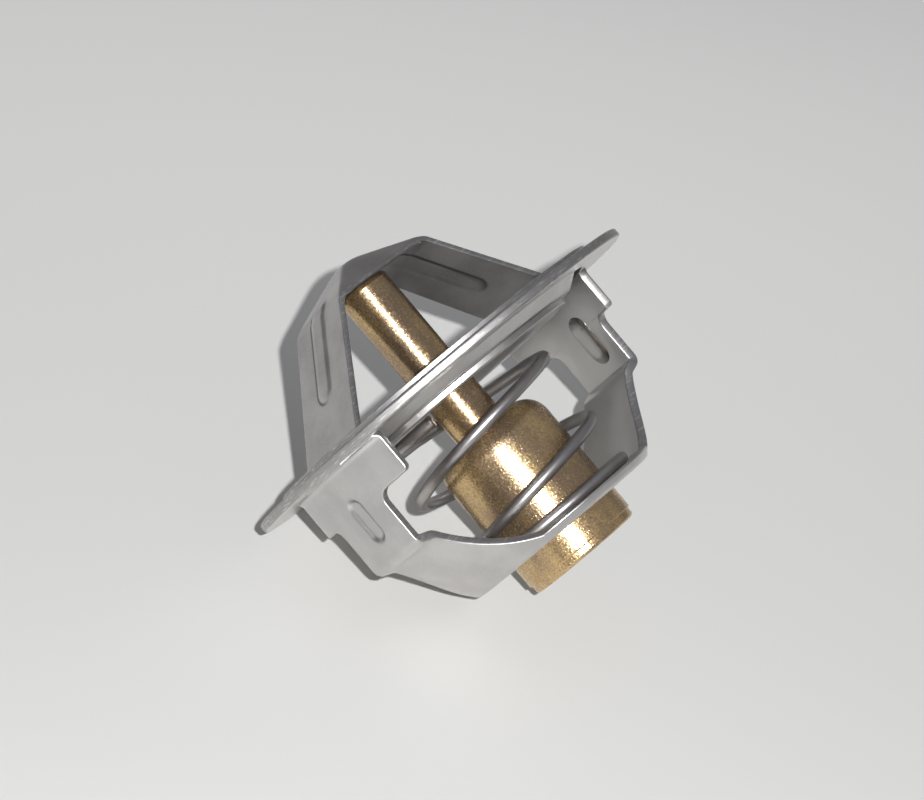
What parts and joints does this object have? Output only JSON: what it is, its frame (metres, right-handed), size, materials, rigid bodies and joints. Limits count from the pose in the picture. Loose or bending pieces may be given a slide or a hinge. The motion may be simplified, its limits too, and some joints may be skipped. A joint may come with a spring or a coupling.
{
  "type": "engine thermostat",
  "caption": "Wax-element engine coolant thermostat: flanged stainless frame with an arch, a sprung disc valve and a brass element that slides on a steel piston.",
  "frame": {"origin": "on the valve axis, in the upper face of the flange", "axes": "+Z along the valve axis, from the wax element towards the arch; the arch lies along X and the legs a few degrees round from it"},
  "size_m": [0.054, 0.054, 0.0441],
  "materials": {
    "frame_steel": "satin drawn stainless sheet",
    "arch_steel": "satin drawn stainless sheet",
    "seat_steel": "satin stainless sheet",
    "piston_steel": "ground",
    "backup_plastic": "plain white",
    "plug_rubber": "matt black",
    "spring_steel": "drawn stainless wire",
    "disc_steel": "satin stainless sheet",
    "guide_brass": "turned, slightly tarnished",
    "case_brass": "tarnished, grainy",
    "diaphragm_rubber": "matt black",
    "wax": "dull",
    "fluid": "dull"
  },
  "bodies": {
    "housing": {"flange_frame": "frame_steel", "upper_arch": "arch_steel", "valve_seat": "seat_steel", "piston": "piston_steel", "main_spring": "spring_steel"},
    "valve": {"valve_disc": "disc_steel", "piston_guide": "guide_brass", "element_case": "case_brass", "diaphragm": "diaphragm_rubber", "wax_charge": "wax", "sealing_fluid": "fluid", "rubber_plug": "plug_rubber", "backup_disc": "backup_plastic"}
  },
  "joints": [
    {"name": "valve_lift", "type": "slide", "parent": "housing", "child": "valve", "axis": [0, 0, -1], "range_m": [0, 0.008], "stiffness_N_per_m": 2000, "springref_m": -0.01, "deforming": ["main_spring"]}
  ]
}
